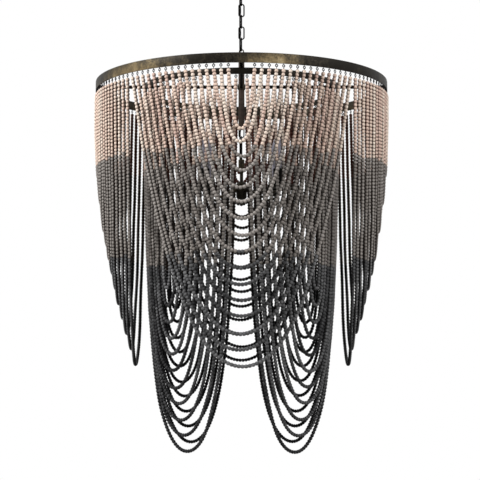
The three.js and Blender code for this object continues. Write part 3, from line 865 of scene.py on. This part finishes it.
def make_swag(name, swag, turn, seed):
    rng = np.random.default_rng(seed)
    places, edges = [], []
    own = {"dye_shift": [], "strand_tone": [], "strand_pitch": []}
    spin = Matrix.Rotation(turn, 3, "Z")
    for index in range(swag["loops"]):
        loop = strand(swag, index, rng)
        first = len(places)
        places += [tuple(spin @ Vector(point)) for point in loop]
        edges += [(first + step, first + step + 1) for step in range(len(loop) - 1)]
        own["dye_shift"] += [swag["dye_shift"] + rng.uniform(-1, 1) * DYE_STRAY] * len(loop)
        own["strand_tone"] += [0.5 + rng.uniform(-1, 1) * TONE_STRAY] * len(loop)
        own["strand_pitch"] += [BEAD_PITCH * (1 + rng.uniform(-1, 1) * PITCH_STRAY)] * len(loop)
    mesh = bpy.data.meshes.new(name + "_lines")
    mesh.from_pydata(places, edges, [])
    for attribute, values in own.items():
        mesh.attributes.new(attribute, "FLOAT", "POINT").data.foreach_set("value", values)
    values = {
        "Bead": BEAD_BELLY,
        "Pitch": BEAD_PITCH,
        "Swell": BEAD_SWELL,
        "Blush foot": HOOP_Z - BLUSH_DEPTH,
        "Grey foot": HOOP_Z - GREY_DEPTH,
        "Foot fade": 1.0,
        "Seed": seed,
    }
    piece = made_by(BEAD_TREE, f"beads_{name}", mesh, values)
    stand_for(piece, f"{name}_swag", "wood_beads", f"swag_{name}")


def make_rings(name, swag, turn):
    """The row of jump rings, each in its eye, and the threads knotted to them. A thread reaches
    well into its first bead, which slides on it when the swag sways."""
    places, outward, corners, faces = [], [], [], []
    strand_top = swag["hoop_foot"] - RING_DROP
    thread_top = [(THREAD_RADIUS, strand_top + 4.9 * MM), (0.0, strand_top + 5 * MM)]
    for index in range(swag["loops"]):
        angle = swag["first"] + index * swag["step"]
        bead_top = strand_top - ring_room(swag, angle)
        profile = [
            (0.0, bead_top - THREAD_END),
            (THREAD_RADIUS, bead_top - THREAD_END + 0.3 * MM),
            (0.5 * MM, bead_top + 0.8 * MM),
            (1.1 * MM, bead_top + 1.6 * MM),
            (1.2 * MM, bead_top + 2.4 * MM),
            (0.5 * MM, bead_top + 3.2 * MM),
            *thread_top,
        ]
        for side in (-1, 1):
            spot = turn + side * angle
            x, y = swag["radius"] * math.cos(spot), swag["radius"] * math.sin(spot)
            places.append((x, y, swag["hoop_foot"]))
            outward.append(spot)
            more, more_faces = turn_faces(profile, 6, (x, y))
            faces += [[corner + len(corners) for corner in face] for face in more_faces]
            corners += more
    mesh = bpy.data.meshes.new(name + "_points")
    mesh.from_pydata(places, [], [])
    mesh.attributes.new("outward", "FLOAT", "POINT").data.foreach_set("value", outward)
    values = {"Ring": 7.8 * MM, "Wire": 2.3 * MM, "Eye": 3.6 * MM, "Eye wire": 1.6 * MM}
    rings = made_by(RING_TREE, f"jump_rings_{name}", mesh, values)
    knots = mesh_piece(f"knots_{name}", corners, faces, THREAD)
    for piece in (rings, knots):
        stand_for(piece, "frame", "dark_iron", f"rings_{name}")


FIRST_SEED = 11
for number, (name, swag, turn) in enumerate(SWAGS):
    make_swag(name, swag, turn, FIRST_SEED + number)
    make_rings(name, swag, turn)


# Hoops, spokes, hub and stem


def hoop(name, node, radius, facets, patches):
    """A flat bar rolled on edge, with broken corners. Its rubbing attribute lightens the patina
    where it was wiped back and also paints light and shade: broad patches round the hoop, partly
    wiped patina and partly painted highlight, fading along its top edge; patches below zero, and
    the top edge and the inner face, are darker as painted shade. A patch is the angle of its
    middle, its width in degrees and how much it is wiped, or darkened where that is below zero."""
    # The patches fade towards the top; the top edge is darkened and the inner face keeps little of
    # them, as painted shade
    at_foot, less_above, inside_share, dark_above = 1.15, 0.6, 0.1, 0.12
    low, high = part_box(node)
    inner, outer = radius - HOOP_THICK / 2, radius + HOOP_THICK / 2
    bar = [(inner, low.z), (outer, low.z), (outer, high.z), (inner, high.z)]
    # Start in the middle of the inner face, so that all four corners are rounded
    start = (inner, (low.z + high.z) / 2)
    piece = turned(name, rounded([start, *bar, start], 0.5 * MM, 2), BRASS, facets)
    values = []
    for corner in piece.data.vertices:
        angle = math.degrees(math.atan2(corner.co.y, corner.co.x))
        rub_and_painted_light = 0.0
        for centre, width, amount in patches:
            away = (angle - centre + 180) % 360 - 180
            rub_and_painted_light += amount * math.exp(-((away / width) ** 2))
        up = (corner.co.z - low.z) / (high.z - low.z)
        share = 1.0 if math.hypot(corner.co.x, corner.co.y) > radius else inside_share
        values.append(rub_and_painted_light * (at_foot - less_above * up) * share - dark_above * up)
    piece.data.attributes.new("rub_and_painted_light", "FLOAT", "POINT").data.foreach_set("value", values)
    stand_for(piece, "frame", "aged_brass", node)


# The outer hoop's patches are partly wiped patina and partly painted highlight, and those below
# zero are painted shade; the inner hoop is darkened all round as painted shade
OUTER_WIPES_AND_PAINTED_LIGHT = [(-134, 18, 0.54), (-79, 10, 0.6), (-101, 10, -0.26), (-38, 24, -0.18)]
OUTER_WIPES_AND_PAINTED_LIGHT += [(10, 20, 0.3), (60, 25, 0.5), (140, 30, 0.4)]
INNER_PAINTED_SHADE = [(middle, 60, -0.3) for middle in (-90, 0, 90, 180)]
hoop("hoop_outer", "outer_hoop", HOOP_RADIUS, 256, OUTER_WIPES_AND_PAINTED_LIGHT)
hoop("hoop_inner", "inner_hoop", INNER_HOOP_RADIUS, 192, INNER_PAINTED_SHADE)


def bar_between(name, node, material):
    """A square bar that fills a box node, its long edges broken."""
    low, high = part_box(node)
    middle, half = (low + high) / 2, (high - low) / 2
    long_axis = 0 if half.x > half.y else 1
    across = half[1 - long_axis]
    cut = 0.8 * MM
    outline = []
    for sx, sz in ((1, 1), (-1, 1), (-1, -1), (1, -1)):
        wide, tall = across * sx, half.z * sz
        first, second = (wide, tall - cut * sz), (wide - cut * sx, tall)
        outline += [first, second] if sx * sz > 0 else [second, first]
    places = []
    for end in (-1, 1):
        for wide, tall in outline:
            offset = [0, 0, tall]
            offset[long_axis] = half[long_axis] * end
            offset[1 - long_axis] = wide
            places.append(middle + Vector(offset))
    count = len(outline)
    faces = [[i, (i + 1) % count, count + (i + 1) % count, count + i] for i in range(count)]
    faces += [list(range(count))[::-1], list(range(count, 2 * count))]
    if long_axis == 0:
        faces = [face[::-1] for face in faces]
    return mesh_piece(name, places, faces, material, sharp=50)


for side in SIDES:
    bar = bar_between(f"spoke_bar_{side}", f"spoke_{side}", STEEL)
    stand_for(bar, "frame", "dark_iron", f"spoke_{side}")

for name, node, outer, inner, rounding, slot, metal in (
    ("stem_tube", "stem", 8 * MM, STEM_BORE, 0.4 * MM, "dark_iron", STEM_STEEL),
    ("hub_collar", "hub", 10 * MM, 8.3 * MM, 0.6 * MM, "aged_brass", BRASS),
):
    low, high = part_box(node)
    piece = turned(name, bored(outer, inner, high.z, low.z), metal, 40, rounding)
    stand_for(piece, "frame", slot, node)


# Chain and loops

# A link is pressed a little broader and thicker than its solid, but no longer
LINK_FULLNESS = (1.22, 1.0, 1.3)
for link in range(1, LINK_COUNT + 1):
    link_low, link_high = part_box(f"chain_link_{link}")
    values = {
        "Length": LINK_LENGTH,
        "Width": LINK_WIDTH,
        "Wire": LINK_WIRE,
        "Fullness": LINK_FULLNESS,
        "Middle": (link_low.z + link_high.z) / 2,
        "Turn": 0.0 if link % 2 else QUARTER,
    }
    empty = bpy.data.meshes.new(f"link_{link}_start")
    piece = made_by(LINK_TREE, f"steel_link_{link}", empty, values)
    stand_for(piece, f"link_{link}", "dark_iron", f"chain_link_{link}")


def loop_path(width, crown, root, turn=0.0):
    """A wire loop whose two legs end at the root height, and whose crown is at the crown height."""
    half = (width - LINK_WIRE) / 2
    way = 1 if crown > root else -1
    path = [(-half, 0, root)]
    for step in range(17):
        angle = math.pi * step / 16
        path.append((-half * math.cos(angle), 0, crown - way * half * (1 - math.sin(angle))))
    path.append((half, 0, root))
    spin = Matrix.Rotation(turn, 3, "Z")
    return [spin @ Vector(point) for point in path]


def collar_with_loop(name, node, outer, thick, top, width, crown):
    """A turned collar, bored for the cord, that carries a wire loop."""
    foot = top - thick
    bore = 5.4 * MM
    collar = turned(name + "_collar", bored(outer, bore, top, foot), STEEL, 40, 1.2 * MM)
    root = top - LINK_WIRE if crown > top else foot + LINK_WIRE
    loop = tube(name + "_wire", loop_path(width, crown, root), LINK_WIRE / 2, STEEL)
    stand_for(joined(name, collar, loop), "frame", "dark_iron", node)


stem_loop = 9 * MM, 8 * MM, STEM_COLLAR_TOP, LINK_WIDTH, STEM_LOOP_TOP
stem_eye = 8 * MM, EYE_THICK, EYE_TOP, 16 * MM, EYE_CROWN
collar_with_loop("stem_loop_forged", "stem_loop", *stem_loop)
collar_with_loop("stem_eye_forged", "stem_eye", *stem_eye)


# Ceiling fitting


def ceiling_fitting():
    thick, boss, bore = 4 * MM, 9 * MM, 5.3 * MM
    disc = 50 * MM
    boss_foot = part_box("ceiling_plate")[0].z
    plate = [(0, -thick), (bore, -thick), (bore, boss_foot), (boss, boss_foot)]
    plate += [(boss, -thick), (disc, -thick), (disc, 0), (0, 0)]
    turned_part("ceiling_disc", "ceiling_plate", "mount", "dark_iron", plate, 48, 0.6 * MM)

    depth, wall, radius, rounding = 25 * MM, 1.5 * MM, 65 * MM, 14 * MM
    outside = [(radius, 0)]
    inside = [(radius - wall, 0)]
    for step in range(11):
        angle = QUARTER * step / 10
        for line, bend in ((outside, rounding), (inside, rounding - wall)):
            x = radius - rounding + bend * math.cos(angle)
            line.append((x, rounding - depth - bend * math.sin(angle)))
    outside.append((bore, -depth))
    inside.append((bore, wall - depth))
    shell = [*outside, *inside[::-1], outside[0]]
    turned_part("canopy_cup", "canopy", "mount", "aged_brass", shell[::-1], 96)

    # The ball nuts and the collar hang under the canopy, on rods that end just below the plate
    top = -depth - GAP
    rod_top = -thick - GAP
    nut, screw, apart = 4.5 * MM, 2 * MM, 34 * MM
    ball = [(0.0, top - 2 * nut)]
    for step in range(1, 9):
        angle = math.pi * step / 10
        ball.append((nut * math.sin(angle), top - nut - nut * math.cos(angle)))
    ball += [(screw, top), (screw, rod_top), (0.0, rod_top)]
    for side, x in (("left", -apart), ("right", apart)):
        names = f"ball_nut_{side}", f"canopy_screw_{side}"
        turned_part(*names, "mount", "aged_brass", ball, 28, centre=(x, 0))
    wide, nipple, foot = 10 * MM, 5 * MM, top - 7 * MM
    body = [(0.0, foot), (wide, foot), (wide, top)]
    body += [(nipple, top), (nipple, rod_top), (0.0, rod_top)]
    collar = turned("canopy_loop_collar", body, STEEL, 40, 1.0 * MM)
    path = loop_path(LINK_WIDTH, BENDS[0], foot + LINK_WIRE, QUARTER)
    loop = tube("canopy_loop_wire", path, LINK_WIRE / 2, STEEL)
    stand_for(joined("canopy_loop_forged", collar, loop), "mount", "dark_iron", "canopy_loop")


ceiling_fitting()


# Lamp cluster


def make_hanger():
    """A closed wire eye on a rod."""
    low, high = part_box("lamp_hanger")
    half, thick = 5 * MM, 2.5 * MM
    top, foot = high.z - LINK_WIRE / 2, high.z - 19 * MM + 1.5 * LINK_WIRE
    path = []
    for step in range(24):
        angle = math.tau * step / 24
        rise = top - half if math.sin(angle) >= 0 else foot + half
        path.append((0, half * math.cos(angle), rise + half * math.sin(angle)))
    eye = tube("hanger_eye", path, LINK_WIRE / 2, STEEL, closed=True)
    profile = [(0.0, low.z), (thick, low.z), (thick, foot), (0.0, foot)]
    rod = turned("hanger_rod", profile, STEEL, 20, 0.4 * MM)
    stand_for(joined("lamp_hanger_forged", eye, rod), "lamps", "dark_iron", "lamp_hanger")


def make_lamp_body():
    low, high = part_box("lamp_body")
    radius, neck = 14 * MM, 4.5 * MM
    roll = radius / 3
    coupling_foot = high.z - 29 * MM
    top = coupling_foot - 31 * MM
    profile = [
        (0.0, low.z),
        (radius - roll, low.z),
        (radius, low.z + roll),
        (radius, top - roll),
        (radius - roll, top),
        (neck, top),
        (neck, coupling_foot - neck),
        (COUPLING, coupling_foot),
        (COUPLING, high.z),
        (0.0, high.z),
    ]
    turned_part("lamp_body_turned", "lamp_body", "lamps", "aged_brass", profile, 40, 1.5 * MM)

    low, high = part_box("finial")
    ball, neck = 7 * MM, 3.5 * MM
    profile = [
        (0.0, low.z),
        (neck, low.z + neck / 2),
        (ball, low.z + 9 * MM),
        (ball, high.z - ball),
        (neck, high.z - neck),
        (neck, high.z),
        (0.0, high.z),
    ]
    turned_part("finial_turned", "finial", "lamps", "aged_brass", profile, 32, 2 * MM)


def make_arm(number, spin):
    """A bent arm from the middle of the lamp body's side to the foot of its pan."""
    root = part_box("lamp_body")[0].z + 45 * MM / 2
    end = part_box(f"drip_pan_{number}")[0].z - GAP
    start, dip, thick = 14.3 * MM, 16 * MM, 3.5 * MM
    span = LAMP_CIRCLE - start
    points = [
        (start, 0, root),
        (start + span / 8, 0, root),
        (start + span / 2, 0, end - dip),
        (LAMP_CIRCLE - span / 8, 0, end - dip / 2),
        (LAMP_CIRCLE, 0, end - thick),
        (LAMP_CIRCLE, 0, end),
    ]
    path = [spin @ Vector(point) for point in smooth_path(points, 8)]
    piece = tube(f"arm_bent_{number}", path, thick, BRASS, 16)
    stand_for(piece, "lamps", "aged_brass", f"arm_{number}")


def make_candle(number, centre):
    """A spun pan with a rolled rim, and the sleeve that stands on it."""
    low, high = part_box(f"drip_pan_{number}")
    seat, rim, dish = 11 * MM, 19 * MM, high.z - 1.6 * MM
    pan = [
        (0.0, low.z),
        (4 * MM, low.z),
        (17.5 * MM, dish),
        (rim, high.z),
        (18 * MM, high.z),
        (16.5 * MM, high.z - 1.2 * MM),
        (12 * MM, dish),
        (seat, high.z),
        (0.0, high.z),
    ]
    names = f"drip_pan_spun_{number}", f"drip_pan_{number}"
    turned_part(*names, "lamps", "aged_brass", pan, 40, 0.4 * MM, centre)

    low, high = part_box(f"candle_sleeve_{number}")
    floor, bore = high.z - 30 * MM, 8 * MM
    sleeve = [(0.0, low.z), (seat, low.z), (seat, high.z)]
    sleeve += [(bore, high.z), (bore, floor), (0.0, floor)]
    names = f"candle_tube_{number}", f"candle_sleeve_{number}"
    turned_part(*names, "lamps", "candle_sleeve", sleeve, 36, 0.5 * MM, centre)
    make_bulb(number, centre, high.z)


def make_bulb(number, centre, sleeve_top):
    """A satin candle bulb: blown glass, its glass stem and wire filament, and a screw cap."""
    body = f"bulb_{number}_body"
    foot, height, radius, wall = sleeve_top + GAP, 84 * MM, 17.5 * MM, 0.7 * MM
    # The flame shape, in shares of the bulb's radius and height
    shares = [(0.514, 0.0), (0.58, 0.06), (0.72, 0.13), (0.86, 0.2), (0.95, 0.28), (1.0, 0.38)]
    shares += [(0.985, 0.47), (0.94, 0.56), (0.84, 0.66), (0.7, 0.75), (0.54, 0.84), (0.36, 0.92)]
    shares += [(0.2, 0.97), (0.1, 0.99)]
    outside = [(radius * across, foot + height * up) for across, up in shares]
    inside = [(max(across - wall, 0.2 * MM), up - wall * 0.4) for across, up in outside[1:]]
    inside = [(outside[0][0] - wall, foot + wall), *inside]
    glass = [(0.0, foot), *outside, (0.0, foot + height)]
    hollow = [(0.0, foot + wall), *inside, (0.0, foot + height - 2 * wall)]
    corners, faces = turn_faces(glass, 32, centre)
    more, more_faces = turn_faces(hollow, 32, centre)
    faces += [[corner + len(corners) for corner in face[::-1]] for face in more_faces]
    bulb = mesh_piece(f"bulb_glass_{number}", corners + more, faces, GLASS)
    stand_for(bulb, body, "bulb_glass", f"bulb_{number}")

    x, y = centre
    stem = [(0.0, foot + wall), (4 * MM, foot + wall), (2.2 * MM, foot + 14 * MM)]
    stem += [(0.0, foot + 26 * MM)]
    stem = turned(f"bulb_stem_{number}", stem, GLASS, 16, 1.5 * MM, centre)
    base, crown, half_coil = foot + 28 * MM, foot + 52 * MM, 4 * MM
    wires = []
    for side in (-1, 1):
        path = [(x + side * 1.2 * MM, y, foot + 6 * MM), (x + side * 1.5 * MM, y, foot + 20 * MM)]
        path += [(x + side * half_coil, y, base)]
        wires.append(tube(f"prop_{number}_{side + 1}", smooth_path(path, 4), 0.3 * MM, FILAMENT, 6))
    zigzag = []
    for step in range(9):
        spot = half_coil * (step / 4 - 1)
        zigzag.append((x + spot, y + (step % 2 - 0.5) * 2 * MM, crown if step % 2 else base))
    wires.append(tube(f"coil_{number}", smooth_path(zigzag, 4), 0.22 * MM, FILAMENT, 5))
    filament = joined(f"bulb_filament_{number}", *wires)
    cap_foot, cap_top = sleeve_top - 27 * MM, foot - 0.1 * MM
    cap = [(0.0, cap_foot), (2.5 * MM, cap_foot)]
    cap += [(2.7 * MM, cap_foot + 2 * MM), (5.5 * MM, cap_foot + 4 * MM)]
    groove, crest = 6.2 * MM, 6.8 * MM
    for thread in range(6):
        height = cap_foot + 5 * MM + thread * 3 * MM
        cap += [(groove, height), (crest, height + 1.2 * MM), (groove, height + 2.4 * MM)]
    cap += [(crest, sleeve_top - 1.5 * MM), (7.5 * MM, cap_top), (0.0, cap_top)]
    cap = turned(f"bulb_cap_{number}", cap, CAP, 28, centre=centre)
    for piece in (stem, filament, cap):
        stand_for(piece, body, "bulb_glass")


make_hanger()
make_lamp_body()
for number in range(1, 5):
    angle = QUARTER * (number - 0.5)
    make_arm(number, Matrix.Rotation(angle, 3, "Z"))
    make_candle(number, (LAMP_CIRCLE * math.cos(angle), LAMP_CIRCLE * math.sin(angle)))


# Floor, backdrop and lights


def make_floor():
    """A pale matt floor. Camera rays add white to it, so that it runs into the white backdrop and
    keeps the object's shadow."""
    material, tree = new_material("pale_matt_floor")
    seen = add(tree, "ShaderNodeLightPath").outputs["Is Camera Ray"]
    inputs = {"Base Color": linear("#E6E4E0"), "Roughness": 0.9}
    surface = add(tree, "ShaderNodeBsdfPrincipled", inputs)
    white = add(tree, MATH, [seen, 0.6], operation="MULTIPLY")
    glow = add(tree, "ShaderNodeEmission", {"Strength": white})
    add(tree, "ShaderNodeOutputMaterial", [add(tree, "ShaderNodeAddShader", [surface, glow])])
    far_below, size = cad_low.z - 1.9, 7.0
    corners = [(x * size, y * size, far_below) for x, y in ((-1, -1), (1, -1), (1, 1), (-1, 1))]
    mesh_piece("floor", corners, [[0, 1, 2, 3]], material)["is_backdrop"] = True


def light_world():
    """A faint even light, which the camera, metal and glass see as a white backdrop."""
    world = bpy.data.worlds.new("studio")
    bpy.context.scene.world = world
    world.use_nodes = True
    tree = world.node_tree
    tree.nodes.clear()
    path = add(tree, "ShaderNodeLightPath").outputs
    shown = path["Is Camera Ray"]
    for kind in ("Is Glossy Ray", "Is Transmission Ray"):
        shown = add(tree, MATH, [shown, path[kind]], operation="MAXIMUM")
    soft = add(tree, "ShaderNodeBackground", {"Color": linear("#F6F4F2"), "Strength": 0.015})
    white = add(tree, "ShaderNodeBackground", {"Color": linear("#FFFFFF"), "Strength": 1.0})
    add(tree, "ShaderNodeOutputWorld", [add(tree, "ShaderNodeMixShader", [shown, soft, white])])


def add_softbox(name, place, size, power):
    light = bpy.data.lights.new(name, "AREA")
    light.shape = "RECTANGLE"
    light.size, light.size_y = size
    light.energy = power
    lamp = linked(name, light)
    lamp.location = place
    shade_middle = Vector((0, 0, -0.8))
    away = Vector(place) - shade_middle
    lamp.rotation_euler = away.to_track_quat("Z", "Y").to_euler()


make_floor()
light_world()
add_softbox("key_softbox", (-2.9, -1.6, 1.4), (0.4, 0.6), 190)
add_softbox("fill_softbox", (2.7, -2.3, 1.2), (2.4, 2.4), 130)
add_softbox("back_softbox", (0.5, 3.2, 0.6), (1.5, 1.5), 30)
bpy.context.scene.view_settings.view_transform = "Standard"

low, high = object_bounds()
